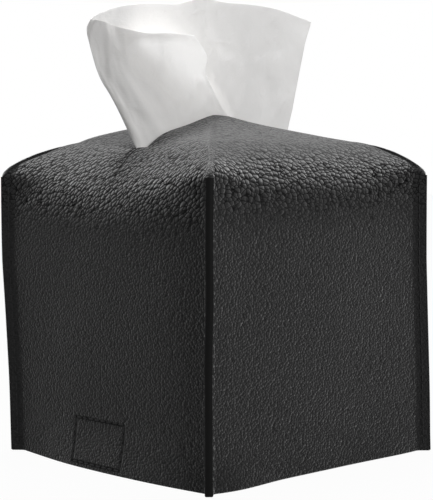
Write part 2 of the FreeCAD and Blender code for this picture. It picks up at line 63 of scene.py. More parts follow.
# One seed for the leather's slack waves and the shifts between the folded leaves
noise.seed_set(7)

# Steps along half a side of the cover, from its middle to the flange's tip
WALL_STEPS, BEND_STEPS, FACE_STEPS, EDGE_STEPS = 22, 4, 3, 3
CORNER_STEPS = BEND_STEPS + FACE_STEPS + EDGE_STEPS

# Steps along a strap and across it
STRAP_STEPS, STRAP_ROWS = 120, 16

# Steps round the raised tissue and up it, and the number of pleats in its tail
TISSUE_STEPS, TISSUE_ROWS, PLEATS = 240, 84, 30

# The angle through which a shoulder turns from the wall to the crown
SHOULDER_TURN = math.radians(76.1)

# How far stitches stand out, the gap behind the leather, and the width and height of the hem's rounding,
# in millimetres
STITCH_PROUD, BOND_GAP, HEM_ROUND, HEM_RISE = 0.12, 0.03, 0.35, 0.4

# The painted bead: its radius, how far it stands past the flange's tip and sinks into it, how far its foot
# is above the floor, in millimetres, and its steps upwards
BEAD_RADIUS, BEAD_PROUD, BEAD_SUNK, BEAD_LIFT, BEAD_STEPS = 2.2, 0.5, 0.25, 0.3, 30

# The depth of the sewn straps' inner face below the grain side, the rounding of their sewn corners, and
# the height of a seam's lowest stitch, in millimetres
SEWN_DEPTH, SEWN_RADIUS, SEAM_START = 3.3, 1.5, 3

# The rounding of the straps' edges, and of the patches' corners and edges, in metres
STRAP_EDGE, PATCH_CORNER, PATCH_EDGE = 0.0002, 0.0015, 0.00015

# The folded leaves: how much smaller each is than the stack, the gap between them, the rounding of their
# folds and how far they shift, in metres
LEAF_INSET, LEAF_GAP, LEAF_ROUND, LEAF_SHIFT = 0.0012, 0.0001, 0.0014, 0.0005

# The middle and the half size of the side walls' stitched rectangles, along Y and along Z, in metres
STITCHED_BOX = ((0.0025, 0.0158), (0.01145, 0.00925))

# The distance of the slit's tip from the cover's middle, in millimetres, and the creases that fan out from
# it: the bearing in degrees, the depth and the length
SLIT_TIP = 44.5
SLIT_CREASES = [(-36, 0.5, 15), (-5, 0.4, 18), (38, 0.5, 15)]

# The camera: its place in metres, its turn, pitch and roll in degrees, its focal length and the photo's
# height in pixels, and the width of its sensor in millimetres
CAMERA_PLACE, CAMERA_ANGLES = (-0.4451, -0.4752, 0.1295), (-43.208, -3.48, -0.27)
PHOTO_FOCAL, PHOTO_HEIGHT, SENSOR = 1462.7, 500, 36

# The ear's reach along the diagonal at each height above the seam's end, in millimetres
EAR = [(123.4, 94), (125.4, 92.8), (127.4, 90.4), (130.3, 86.3), (132.1, 83), (133.3, 80.6), (134.5, 77.4),
       (135.9, 73.2), (137, 68), (138, 62)]

# The raised tissue's columns from its right edge, round the left fold, to the front flap's free edge.
# Each one runs up from the slit's lip, in millimetres
TISSUE_COLUMNS = [
    [(44, 0.8, 136.5), (47, 0.3, 144), (50, -1.3, 164), (53.3, -2.9, 181.6), (56, -4.5, 193.8)],
    [(31, 1.8, 141), (33, 1.5, 164), (35, 1.5, 182), (36, 1.5, 199.3)],
    [(9, 1, 147.5), (9.5, 2, 165), (10, 3, 183), (10, 3.5, 199.9)],
    [(-3, 1, 149), (-3.5, 3.2, 165), (-4, 4.8, 183), (-4.5, 4.6, 200.9)],
    [(-13, 1.2, 146), (-14.9, 3.7, 165), (-16.7, 5.7, 183), (-18.1, 4.8, 197.6)],
    [(-26, 1.5, 141.5), (-33.3, 6.6, 160), (-37.7, 9, 178), (-39.5, 7.9, 196.3)],
    [(-37, 1, 138), (-44.9, 9.2, 156), (-49.4, 14.8, 175), (-51.3, 14.6, 193)],
    [(-43.4, -0.6, 131.5), (-45.3, 6, 143.7), (-50.7, 11.4, 156.7), (-54.1, 14.9, 165), (-56.2, 16.7, 173.3),
     (-58.3, 18.2, 184.7), (-56.8, 17.4, 189.5)],
    [(-42, -1.2, 133), (-46.5, 5, 150), (-51.1, 11.9, 165), (-52.1, 13.4, 177), (-52.2, 14.9, 188.7)],
    [(-34, -2, 138), (-40, 1.5, 152), (-44.6, 6.4, 165), (-46.3, 8.1, 175), (-47.4, 10.2, 186.3)],
    [(-22, -3, 143), (-34.2, 0.9, 165), (-36.2, 0.5, 172), (-39.8, -1.4, 179.6), (-40.8, -0.6, 183.4)],
    [(-9, -3.2, 147), (-24.8, -5.7, 165), (-29, -7, 171.5), (-33.6, -9.2, 179.4), (-34.8, -8.3, 183.1)],
    [(5, -3.4, 148.2), (-1, -4.6, 153.3), (-9, -7.4, 160.6), (-16, -10, 167.3), (-19.5, -14.2, 174),
     (-26.4, -14.4, 182.2)],
]

# The column at the left fold, and its share of the way round
FOLD_COLUMN, FOLD_SHARE = 7, 0.583

# The way that the front flap faces, in plan
FACING = (-0.685, -0.729)

# The hollow in the front flap: its middle as the distance across the front and the height, its half width
# and half height, and its depth
HOLLOW_MIDDLE, HOLLOW_HALVES, HOLLOW_DEPTH = (-27, 159), (17, 19), 2.2

# Folds in the raised tissue: whether the flap has it, how far it stands out, its half width, and the
# points that it runs through, each as the distance across the front and the height
TISSUE_FOLDS = [
    (True, 0.9, 1.6, [(-4.6, 168), (-0.2, 158.4), (4.8, 149)]),
    (True, 0.7, 1.4, [(-3.3, 157.5), (-7, 152.5), (-11.4, 146.5)]),
    (True, 0.6, 1.5, [(-9, 163), (-9.5, 155), (-12.5, 146)]),
    (False, 1.2, 1.6, [(-1, 165), (4.4, 157), (9.6, 148)]),
    (False, 0.8, 3.2, [(8.5, 191), (13.6, 169), (10.3, 151)]),
    (False, 0.7, 3.0, [(27, 188), (22.4, 170), (25.2, 152)]),
    (False, 0.5, 2.4, [(2, 180), (13, 176), (30, 181)]),
]


def length(name, description, millimetres):
    return FloatProperty(name=name, description=description, default=millimetres * MM, unit="LENGTH", min=0)


def colour(name, description, value):
    return FloatVectorProperty(name=name, description=description, default=value, subtype="COLOR", min=0, max=1)


def corner_mm(node, axis, high):
    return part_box(node)[1 if high else 0][axis] / MM


class CoverSizes(bpy.types.PropertyGroup):
    """Sizes of the leather cover"""
    ply: length("Leather thickness", "Thickness of one ply of leather", 1.6)
    flange_reach: length("Flange reach", "Distance from the middle to a flange's tip, along the diagonal",
                         corner_mm("leather_cover", 0, True) * ROOT2 - 1.6)
    flange_width: length("Flange width", "How far a sewn flange stands out from the walls' corner", 4)
    wall_top: length("Wall top", "Height at which a wall turns into its shoulder", 115.4)
    shoulder_radius: length("Shoulder radius", "Radius of the bend between a wall and the crown", 23)
    slit_half: length("Half slit", "Half the length of the slit", 45)
    slit_gap: length("Slit gap", "Half the width of the slit at its middle", 5)
    seam_top: length("Seam top", "Height at which the sewn seams end", corner_mm("seam_edge_paint", 2, True))
    lining: length("Lining thickness", "Thickness of the lining cloth", 0.45)
    lining_hem: length("Lining hem", "Height of the lining's lower edge", corner_mm("cover_lining", 2, False))
    slack: length("Slack", "Depth of the leather's slow waves", 0.35)


class StitchSizes(bpy.types.PropertyGroup):
    """Sizes of the stitches"""
    pitch: length("Stitch pitch", "Distance from one stitch to the next", 4)
    span: length("Stitch length", "Visible length of one stitch", 3.2)
    thread: length("Thread width", "Width of the thread", 0.7)
    seam_inset: length("Seam inset", "Distance of a seam's stitches from the flange's tip", 3)
    seam_count: IntProperty(name="Seam stitches", description="Number of stitches in one corner seam",
                            default=29, min=1)


class StrapSizes(bpy.types.PropertyGroup):
    """Sizes of the belt and its keeper"""
    width: length("Strap width", "Width of the belt and the keeper", 36)
    offset: length("Strap offset", "Distance of the straps' middle from the cover's middle", 3.5)
    thickness: length("Strap thickness", "Thickness of the belt and the keeper", 1.2)
    tip_radius: length("Tip radius", "Radius of the corners at a strap's free end", 8)


class TissueSizes(bpy.types.PropertyGroup):
    """Sizes of the tissues"""
    sheet: length("Sheet thickness", "Thickness of the raised tissue's two plies", 0.3)
    wrinkle: length("Wrinkle depth", "Depth of the raised tissue's small wrinkles", 0.6)
    flat_width: length("Flat width", "Width of a tissue as it was cut", 200)
    flat_length: length("Flat length", "Length of a tissue as it was cut", 180)
    leaves: IntProperty(name="Leaves", description="Number of folded leaves in the stack", default=10, min=1)


class Finishes(bpy.types.PropertyGroup):
    """Colours of the finishes"""
    leather: colour("Leather", "Colour of the leather", (0.0158, 0.0158, 0.0161))
    lining: colour("Lining", "Colour of the lining cloth", (0.05, 0.05, 0.052))
    edge_paint: colour("Edge paint", "Colour of the painted edges", (0.004, 0.004, 0.004))
    thread: colour("Thread", "Colour of the thread", (0.015, 0.015, 0.0155))
    fastener: colour("Fastener", "Colour of the hook and loop patches", (0.02, 0.02, 0.02))
    carton: colour("Carton", "Colour of the carton's board", (0.78, 0.77, 0.74))
    film: colour("Film", "Colour of the carton's film", (0.9, 0.9, 0.9))
    tissue: colour("Tissue", "Colour of the tissues", (0.86, 0.848, 0.835))


# Arithmetic on shapes


def clamp(value, low=0.0, high=1.0):
    return max(low, min(high, value))


def ease(low, high, value):
    share = clamp((value - low) / (high - low))
    return share * share * (3 - 2 * share)


def bell(distance, width):
    return math.exp(-(distance / width) ** 2)


def between(first, second, share):
    return tuple(a + (b - a) * share for a, b in zip(first, second))


def along_table(table, place):
    for (low, start), (high, end) in zip(table, table[1:]):
        if place <= high:
            return start + (end - start) * clamp((place - low) / (high - low))
    return table[-1][1]


def through(points, share):
    """A point on a smooth curve through the points, at a share of their number."""
    last = len(points) - 1
    index = min(int(share * last), last - 1)
    t = share * last - index
    p1, p2 = Vector(points[index]), Vector(points[index + 1])
    p0 = Vector(points[index - 1]) if index > 0 else 2 * p1 - p2
    p3 = Vector(points[index + 2]) if index + 2 <= last else 2 * p2 - p1
    return 0.5 * (2 * p1 + (p2 - p0) * t + (2 * p0 - 5 * p1 + 4 * p2 - p3) * t ** 2
                  + (3 * p1 - p0 - 3 * p2 + p3) * t ** 3)


def run_lengths(points):
    """The distance from the first point to each point, along the line through them."""
    run = [0.0]
    for a, b in zip(points, points[1:]):
        run.append(run[-1] + (b - a).length)
    return run


def even(points, count):
    """Points at even distances on the smooth curve through the points."""
    parts = 200
    fine = [through(points, step / parts) for step in range(parts + 1)]
    run = run_lengths(fine)
    spaced, index = [], 0
    for step in range(count):
        goal = run[-1] * step / (count - 1)
        while index < parts - 1 and run[index + 1] < goal:
            index += 1
        share = clamp((goal - run[index]) / max(run[index + 1] - run[index], 1e-9))
        spaced.append(fine[index].lerp(fine[index + 1], share))
    return spaced


def line_gap(points, across, height):
    """The distance from a place to the line through the points."""
    gaps = []
    for (a0, h0), (a1, h1) in zip(points, points[1:]):
        run, rise = a1 - a0, h1 - h0
        share = clamp(((across - a0) * run + (height - h0) * rise) / (run * run + rise * rise))
        gaps.append(math.hypot(across - a0 - share * run, height - h0 - share * rise))
    return min(gaps)


def tissue_relief(spot, u):
    """How far the raised tissue stands out at a place: the flap's hollow and the folds."""
    across = FACING[0] * spot.y - FACING[1] * spot.x
    flap, back = ease(0.6, 0.68, u), 1 - ease(0.5, 0.56, u)
    reach = math.hypot((across - HOLLOW_MIDDLE[0]) / HOLLOW_HALVES[0],
                       (spot.z - HOLLOW_MIDDLE[1]) / HOLLOW_HALVES[1])
    inside = ease(-0.6, 2.4, (across + 32.7) * 0.82 + (spot.z - 156.6) * 0.57)
    rim = 0.5 * bell(reach - 1.15, 0.2)
    out = flap * (rim - HOLLOW_DEPTH * (1 - ease(0.35, 1.1, reach)) * inside)
    for on_flap, height, width, points in TISSUE_FOLDS:
        share = flap if on_flap else back
        if share:
            out += share * height * bell(line_gap(points, across, spot.z), width)
    return out * ease(136, 146, spot.z)


# Modelling steps


def clear_selection():
    if bpy.context.object and bpy.context.object.mode != "OBJECT":
        bpy.ops.object.mode_set(mode="OBJECT")
    bpy.ops.object.select_all(action="DESELECT")


def pick(*pieces):
    clear_selection()
    for piece in pieces:
        piece.select_set(True)
    bpy.context.view_layer.objects.active = pieces[0]


def grid_piece(name, columns, rows, place):
    """Adds a grid and moves its points to where place(column, row) puts them, in millimetres."""
    clear_selection()
    bpy.ops.mesh.primitive_grid_add(x_subdivisions=columns, y_subdivisions=rows, size=2)
    piece = bpy.context.object
    piece.name = piece.data.name = name
    for vertex in piece.data.vertices:
        column = round((vertex.co.x + 1) / 2 * columns)
        row = round((vertex.co.y + 1) / 2 * rows)
        vertex.co = Vector(place(column, row)) * MM
    return piece


def smooth(piece, angle=60):
    pick(piece)
    bpy.ops.object.shade_smooth_by_angle(angle=math.radians(angle))


def close_seams(piece, angle=40):
    """Merges the points that meet, turns the faces outwards and smooths the piece."""
    pick(piece)
    bpy.ops.object.mode_set(mode="EDIT")
    bpy.ops.mesh.select_all(action="SELECT")
    bpy.ops.mesh.remove_doubles(threshold=1e-6)
    bpy.ops.mesh.normals_make_consistent(inside=False)
    bpy.ops.object.mode_set(mode="OBJECT")
    smooth(piece, angle)


def use_modifier(piece, kind, **settings):
    pick(piece)
    modifier = piece.modifiers.new(kind.title(), kind)
    for key, value in settings.items():
        setattr(modifier, key, value)
    bpy.ops.object.modifier_apply(modifier=modifier.name)


def bake_place(piece):
    pick(piece)
    bpy.ops.object.transform_apply(location=True, rotation=True, scale=True)


def copy_of(piece, name):
    pick(piece)
    bpy.ops.object.duplicate(linked=False)
    copy = bpy.context.object
    copy.name = copy.data.name = name
    return copy


def join(name, *pieces):
    pick(*pieces)
    if len(pieces) > 1:
        bpy.ops.object.join()
    whole = bpy.context.object
    whole.name = whole.data.name = name
    return whole


def move_points(piece, rule):
    """Moves each point of a piece by a rule on millimetres."""
    for vertex in piece.data.vertices:
        vertex.co = Vector(rule(vertex.co / MM)) * MM


def wear(context, piece, finish):
    piece.data.materials.clear()
    piece.data.materials.append(finish_of(context, finish))


def dress(context, piece, body, slot, *nodes, finish=None):
    """Gives a piece its finish, which is the slot's unless another is named, its body when one is given, and
    hides the nodes that it stands for.
    """
    wear(context, piece, finish or slot)
    if body:
        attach(piece, body)
    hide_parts(*nodes)


# The cover's form, in millimetres


class CoverForm:
    """The soft cover's surface at a depth below its grain side."""

    def __init__(self, sizes):
        self.ply = sizes.ply / MM
        self.reach = sizes.flange_reach / MM
        self.half = self.reach / ROOT2 - sizes.flange_width / MM / ROOT2
        self.wall_top = sizes.wall_top / MM
        self.radius = sizes.shoulder_radius / MM
        self.slit_half = sizes.slit_half / MM
        self.slit_gap = sizes.slit_gap / MM
        self.seam_top = sizes.seam_top / MM
        self.slack = sizes.slack / MM
        self.crown_half = self.half - self.radius + self.radius * math.cos(SHOULDER_TURN)
        self.crown_foot = self.wall_top + self.radius * math.sin(SHOULDER_TURN)

    def flanged(self, half, tip, ply, rounded, bend=2.3):
        """Half a side from its middle to the flange's tip, as points along and outwards."""
        turn = half - ROOT2 * ply - bend * math.tan(math.pi / 8)
        points = [(turn * step / WALL_STEPS, half) for step in range(WALL_STEPS + 1)]
        for step in range(1, BEND_STEPS + 1):
            angle = -math.pi / 2 + math.pi / 4 * step / BEND_STEPS
            points.append((turn + bend * math.cos(angle), half + bend + bend * math.sin(angle)))
        start = (points[-1][0] + points[-1][1]) / ROOT2
        corner = max(start + 0.1, tip - ply * rounded)
        for step in range(1, FACE_STEPS + 1):
            run = start + (corner - start) * step / FACE_STEPS
            points.append(((run - ply) / ROOT2, (run + ply) / ROOT2))
        for step in range(1, EDGE_STEPS + 1):
            angle = math.pi / 2 * step / EDGE_STEPS
            run = corner + (tip - corner) * math.sin(angle)
            side = ply * (math.cos(angle) * rounded + (1 - step / EDGE_STEPS) * (1 - rounded))
            points.append(((run - side) / ROOT2, (run + side) / ROOT2))
        return points

    def rounded(self, half, radius):
        """Half a side of a rounded square."""
        points = [((half - radius) * step / WALL_STEPS, half) for step in range(WALL_STEPS + 1)]
        for step in range(1, CORNER_STEPS + 1):
            angle = math.pi / 2 - math.pi / 4 * step / CORNER_STEPS
            points.append((half - radius + radius * math.cos(angle), half - radius + radius * math.sin(angle)))
        return points

    def slit_side(self, end, grow):
        """Half a side of the slit's pointed outline, at its long side or its end."""
        turns = [step / CORNER_STEPS for step in range(1, CORNER_STEPS + 1)]
        if end:
            angles = [90 - 8 * step / WALL_STEPS for step in range(WALL_STEPS + 1)]
            angles += [82 - 4 * t for t in turns]
        else:
            angles = [math.degrees(math.asin(0.91 * step / WALL_STEPS)) for step in range(WALL_STEPS + 1)]
            angles += [angles[-1] + (78 - angles[-1]) * t for t in turns]
        points = [((self.slit_half + grow) * math.sin(math.radians(a)),
                   (self.slit_gap + grow) * math.cos(math.radians(a))) for a in angles]
        return [(y, x) for x, y in points] if end else points

    def loop(self, halves):
        """The closed outline from half-sides, in plan."""
        outline = []
        for side, half in enumerate(halves):
            for along, out in [(-a, b) for a, b in reversed(half[1:-1])] + list(half):
                outline.append([(along, -out), (out, along), (-along, out), (-out, -along)][side])
        return outline

    def wall_row(self, height, depth, trim=0.0):
        """A level row of the wall; the grain side at depth 0 has the flanges."""
        if depth > 0:
            side = self.rounded(self.half - depth, 2.0)
        else:
            side = self.flanged(self.half - trim, self.reach - trim, self.ply - trim, 0.0)
        return [(x, y, height) for x, y in self.loop([side] * 4)]

    def shoulder_row(self, angle, depth):
        """A level row of the shoulder, with the ears where the seams run out."""
        radius = self.radius - depth
        half = self.half - self.radius + radius * math.cos(angle)
        height = self.wall_top + radius * math.sin(angle)
        tip = self.reach if height <= self.seam_top else along_table(EAR, height)
        full = 2.4 * ease(116, 125.5, height) * (1 - ease(128, 135, height))
        half += full
        corner = max(2.5, (half * ROOT2 - tip) / (ROOT2 - 1))
        side = self.rounded(half, corner)
        if depth == 0:
            rounded = ease(self.seam_top - 1, self.seam_top + 2, height)
            thin = ease(self.seam_top, self.seam_top + 5, height)
            eared = self.flanged(half, max(tip, half * ROOT2 + 0.2), self.ply * (1 - 0.5 * thin),
                                 rounded, 2.3 - 1.1 * thin)
            share = clamp((tip - half * ROOT2 + 1) / 2.5)
            side = [between(plain, ear, share) for plain, ear in zip(side, eared)]
        return [(x, y, height) for x, y in self.loop([self.drawn_in(side, half, full)] * 4)]

    def drawn_in(self, side, half, full):
        """Half a side whose middle is drawn in, while its corner stays full."""
        return [(along, out - full * (1 - ease(0.5, 0.95, along / half))) for along, out in side]

    def crown_height(self, x, y):
        """The tented crown's height: it droops at the slit's ends, and a ridge runs to the left ear."""
        spread = (abs(x) ** 12 + abs(y) ** 12) ** (1 / 12)
        rise = 0.247 * (self.crown_half - math.sqrt(spread * spread + 9))
        droop = bell(y, 14) * (2.4 * (x / 45) ** 2 if x > 0 else 2.2 * ease(33, 46, -x))
        droop -= 0.8 * bell(x + 30, 8) * bell(y, 9)
        peak = 2.4 * bell(x + 5, 17) * bell(y, 16)
        ridge = 1.7 * bell(x + y, 13) * bell(max(0.0, math.hypot(x + 31, y - 31) - 6), 13)
        return self.crown_foot + rise - droop + peak + ridge

    def crown_row(self, share, depth, grow=0.0):
        """A row of the crown, from the shoulder at share 0 to the slit at share 1."""
        foot = self.loop([self.rounded(self.crown_half, 6.5)] * 4)
        slit = self.loop([self.slit_side(False, grow), self.slit_side(True, grow)] * 2)
        row = []
        for start, end in zip(foot, slit):
            x, y = between(start, end, share)
            height = self.crown_height(x, y)
            height += (self.crown_foot - self.crown_height(*start)) * (1 - share) ** 2
            row.append((x, y, height - depth * 1.055))
        return row

    def skin(self, depth, hem, walls, shoulders, crowns, last=1.0):
        """The rows of one skin from its hem to the slit."""
        rows = [self.wall_row(hem + (self.wall_top - hem) * step / walls, depth) for step in range(walls + 1)]
        rows += [self.shoulder_row(SHOULDER_TURN * step / shoulders, depth) for step in range(1, shoulders + 1)]
        rows += [self.crown_row(last * step / crowns, depth, 0.4 * ease(0.9, 1, step / crowns))
                 for step in range(1, crowns + 1)]
        return rows

    def soft(self, point):
        """A point of the cover, moved as slack leather settles."""
        x, y, z = point
        x_way, y_way = math.copysign(1, x), math.copysign(1, y)
        x_far, y_far = clamp(abs(x) / self.half), clamp(abs(y) / self.half)

        # The shoulders sink in below the slit's ends and slump between the corners
        hollow = (4.5 if x > 0 else 1.2) * bell(y, 30) * bell(z - 124, 13) * ease(25, 45, abs(x))
        slump = 3.2 * clamp((z - 106) / 20, 0, 1.2) ** 1.6 * ease(38, 56, -x) * (1 - y_far ** 6)
        ends = 1.7 * clamp((z - 109) / 18, 0, 1.2) ** 1.6 * ease(38, 56, abs(y)) * (1 - x_far ** 6)
        sag = 2.1 * bell(y, 24) * bell(x + 47, 11) * ease(118, 128, z)
        moved = Vector((x - x_way * (0.85 * hollow + slump), y - y_way * ends, z - 0.5 * hollow - sag))

        # The walls swell between the corners
        swell = 0.65 * math.sin(math.pi * clamp(z / self.wall_top)) if z < self.wall_top else 0
        moved.x += swell * ease(58, 62, abs(x)) * (1 - y_far ** 2) * x_way
        moved.y += swell * ease(58, 62, abs(y)) * (1 - x_far ** 2) * y_way

        # The corners lean
        corner = ease(0.62, 1, abs(x - y) / (2 * self.half)) / ROOT2
        lean = corner * (2.1 * max(0.0, 1 - z / 85) - 0.9 * ease(30, 110, z) * (x < y))
        lean += ease(0.8, 1, -(x + y) / (2 * self.half)) * (0.5 + 0.8 * ease(50, 85, z)) / ROOT2
        moved += Vector((lean, -lean, 0))

        # The hem bows out between the corners
        bow = max(0.0, 1 - z / 26) ** 2 * ease(54, 61, max(abs(x), abs(y)))
        moved.x += x_way * (4 if x < 0 else 2.5) * bow * (1 - y_far ** 2) * (abs(x) > abs(y))
        reach = 1.2 + 2.6 * ease(-20, -52, x) * (y < 0)
        moved.y += y_way * reach * bow * (1 - x_far ** 6) * (abs(y) > abs(x))

        moved += noise.noise_vector(Vector((x, y, z)) / 34) * self.slack * ease(0, 12, z)
        if z > 120 and abs(x) > 40:
            past = abs(x) - SLIT_TIP
            bearing, gap = math.degrees(math.atan2(y, past)), math.hypot(past, y)
            for way, depth, run in SLIT_CREASES:
                moved.z -= depth * bell(bearing - way, 3.2) * ease(0.2, 2, gap) * (1 - ease(4, run, gap))
        return moved

    def shell(self, name, rows, angle):
        """A closed shell through rows of points, settled as slack leather."""
        columns = len(rows[0])
        piece = grid_piece(name, columns, len(rows) - 1,
                           lambda column, row: self.soft(rows[row][column % columns]))
        close_seams(piece, angle)
        return piece


# Shader work


class Value:
    """A number or colour that varies over a surface; arithmetic on it adds Math nodes."""

    def __init__(self, paint, socket):
        self.paint, self.socket = paint, socket

    def _math(self, operation, first, second=0.0):
        return self.paint.add("ShaderNodeMath", {"operation": operation}, {0: first, 1: second})

    def __add__(self, other):
        return self._math("ADD", self, other)

    def __radd__(self, other):
        return self._math("ADD", other, self)

    def __sub__(self, other):
        return self._math("SUBTRACT", self, other)

    def __rsub__(self, other):
        return self._math("SUBTRACT", other, self)

    def __mul__(self, other):
        return self._math("MULTIPLY", self, other)

    def __rmul__(self, other):
        return self._math("MULTIPLY", other, self)

    def __pow__(self, other):
        return self._math("POWER", self, other)

    def __abs__(self):
        return self._math("ABSOLUTE", self)

    def largest(self, other):
        return self._math("MAXIMUM", self, other)

    def sine(self):
        return self._math("SINE", self)


class Paint:
    """One procedural material, or the world, and its nodes."""

    def __init__(self, name, kind="materials"):
        self.owner = getattr(bpy.data, kind).new(name)
        self.owner.use_nodes = True
        self.tree = self.owner.node_tree
        self.tree.nodes.clear()

    def add(self, kind, settings, sockets, output=0):
        node = self.tree.nodes.new(kind)
        for key, value in settings.items():
            setattr(node, key, value)
        for key, value in sockets.items():
            if isinstance(value, Value):
                self.tree.links.new(value.socket, node.inputs[key])
            else:
                node.inputs[key].default_value = value
        return Value(self, node.outputs[output]) if node.outputs else None

    def place(self):
        return self.add("ShaderNodeTexCoord", {}, {}, "Object")

    def axes(self, place):
        return [self.add("ShaderNodeSeparateXYZ", {}, {0: place}, axis) for axis in range(3)]

    def noise(self, place, scale, detail=2.0, output=0):
        return self.add("ShaderNodeTexNoise", {}, {"Vector": place, "Scale": scale, "Detail": detail}, output)

    def wander(self, place, scale, distance):
        """The place, pushed about by noise."""
        push = self.add("ShaderNodeVectorMath", {"operation": "SUBTRACT"},
                        {0: self.noise(place, scale, 2.0, 1), 1: (0.5, 0.5, 0.5)})
        return self.add("ShaderNodeVectorMath", {"operation": "MULTIPLY_ADD"},
                        {0: push, 1: (distance,) * 3, 2: place})

    def cells(self, place, scale, feature="DISTANCE_TO_EDGE"):
        return self.add("ShaderNodeTexVoronoi", {"feature": feature},
                        {"Vector": place, "Scale": scale, "Randomness": 0.9})

    def pebbles(self, place, scale):
        """The distance to the edge of each pebble, and its cushioned height."""
        edge = self.cells(place, scale)
        return edge, 0.9 * self.domes(place, scale) + 0.15 * self.step(edge, 0.0, 0.25)

    def domes(self, place, scale):
        return 1 - 1.5 * self.cells(place, scale, "F1") ** 2

    def step(self, value, low, high):
        return self.add("ShaderNodeMapRange", {"interpolation_type": "SMOOTHSTEP"},
                        {0: value, 1: low, 2: high, 3: 0.0, 4: 1.0})

    def mix(self, share, first, second):
        """A colour between two colours."""
        return self.add("ShaderNodeMix", {"data_type": "RGBA"},
                        {0: share, 6: solid(first), 7: solid(second)}, 2)

    def bump(self, height, strength, distance):
        return self.add("ShaderNodeBump", {}, {"Strength": strength, "Distance": distance, "Height": height})

    def backdrop_rays(self):
        """One for the rays of the camera, of gloss and of glass, which see a white backdrop."""
        camera, gloss, glass = [self.add("ShaderNodeLightPath", {}, {}, f"Is {kind} Ray")
                                for kind in ("Camera", "Glossy", "Transmission")]
        return camera.largest(gloss).largest(glass)

    def output(self, shader, kind="Material"):
        self.add("ShaderNodeOutput" + kind, {}, {0: shader})
        return self.owner

    def surface(self, sockets):
        return self.output(self.add("ShaderNodeBsdfPrincipled", {}, sockets))


def solid(value):
    return value if isinstance(value, Value) else (*tuple(value)[:3], 1.0)


def shade(value, factor):
    return tuple(channel * factor for channel in value)


def turns(pitch):
    return 2 * math.pi / pitch


def leather_finish(name, tone, stitched):
    """Pebbled grain, coarser where the leather bends, with painted shade: a dark sheet mixed into the creases
    between the pebbles, the stitched grooves and over the crown.
    """
    paint = Paint(name)
    place = paint.place()
    x, y, z = paint.axes(place)
    flank = paint.step(abs(x) - abs(y), -0.004, 0.004)
    fold = 1 - paint.step(abs(abs(x - 0.0009) - abs(y + 0.0009)), 0.0008, 0.0026)
    bent = paint.step(z + 0.006 * flank, 0.096, 0.121)
    bent = bent * (1 - 0.85 * fold * paint.step(z, 0.12, 0.124))
    high = paint.step(z + 0.003 * (1 - flank), 0.129, 0.14)
    crown = 1 - 0.6 * high

    # The coarse pebbles of the shoulders are drawn out one way on the left and right, another way in front
    side = paint.add("ShaderNodeCombineXYZ", {}, {0: x * 0.95, 1: y * 0.85, 2: (z + 0.45 * y) * 1.15})
    front = paint.add("ShaderNodeCombineXYZ", {},
                      {0: (x + 0.35 * z) * 0.85, 1: y * 1.05, 2: (z - 0.15 * x) * 1.1})
    side_edge, side_dome = paint.pebbles(paint.wander(side, 240, 0.0016), 500)
    front_edge, front_dome = paint.pebbles(paint.wander(front, 200, 0.002), 480)
    coarse = flank * side_edge + (1 - flank) * front_edge
    dome = flank * 0.95 * side_dome + (1 - flank) * front_dome

    # The fine pebbles of the walls
    upright = paint.add("ShaderNodeVectorMath", {"operation": "MULTIPLY"}, {0: place, 1: (1, 1, 1.25)})
    upright = paint.wander(upright, 300, 0.0012)
    small, bead = paint.cells(upright, 820), paint.domes(upright, 820)

    patch, broken, tooth = paint.noise(place, 38, 3.0), paint.noise(place, 300), paint.noise(place, 2600)
    height = 1.15 * dome * bent * crown + 0.72 * bead * (1 - bent) + 0.05 * tooth
    # Painted shade: this mask mixes a dark sheet into the creases between the pebbles, strongest on the
    # shoulders and weaker on the walls. Noise breaks it up, and a flat share of it darkens the whole crown
    painted_shade = (1 - paint.step(coarse, 0.0, 0.15)) * bent * crown + 0.22 * high
    painted_shade = painted_shade + (1 - paint.step(small, 0.0, 0.2)) * (1 - bent) * 0.4
    painted_shade = painted_shade * (0.45 + 0.9 * broken)
    if stitched:
        (box_y, box_half), (box_z, box_rise) = STITCHED_BOX
        rim = abs((abs(y - box_y) - box_half).largest(abs(z - box_z) - box_rise))
        groove = (1 - paint.step(rim, 0.0001, 0.0011)) * paint.step(abs(x), 0.055, 0.058)
        run = -SLIT_TIP * MM - x

        def pull(offset, slope, width, fade, end):
            """A fine crease that runs out from the slit's left end."""
            line = 1 - paint.step(abs(y + offset + slope * run), 0.0001, width)
            return line * (1 - paint.step(run, fade, end))

        pulls = pull(0.0004, 0.1, 0.0008, 0.009, 0.018).largest(pull(-0.0016, 0.05, 0.0006, 0.003, 0.011))
        pulls = pulls * paint.step(run, -0.002, 0.0005) * paint.step(z, 0.116, 0.122)
        height = height - 1.2 * groove - 0.8 * pulls
        # Painted shade in the stitched grooves and the pull creases, on top of their bumps
        painted_shade = painted_shade.largest(groove * 0.9).largest(pulls * 0.85)
    grain = paint.bump(height, 1.0, 0.0006)
    face = paint.add("ShaderNodeBsdfPrincipled", {}, {
        "Base Color": paint.mix(patch, shade(tone, 0.88), shade(tone, 1.12)),
        "Roughness": 0.48 + 0.14 * patch,
        "Specular IOR Level": 0.06,
        "Sheen Weight": 0.44,
        "Sheen Roughness": 0.5,
        "Normal": grain,
    })
    # The dark sheet that the painted shade mixes in, standing in for shade in the creases
    depth = paint.add("ShaderNodeBsdfPrincipled", {}, {
        "Base Color": (*shade(tone, 0.15), 1.0),
        "Roughness": 0.85,
        "Specular IOR Level": 0.02,
        "Normal": grain,
    })
    return paint.output(paint.add("ShaderNodeMixShader", {}, {0: painted_shade, 1: face, 2: depth}))


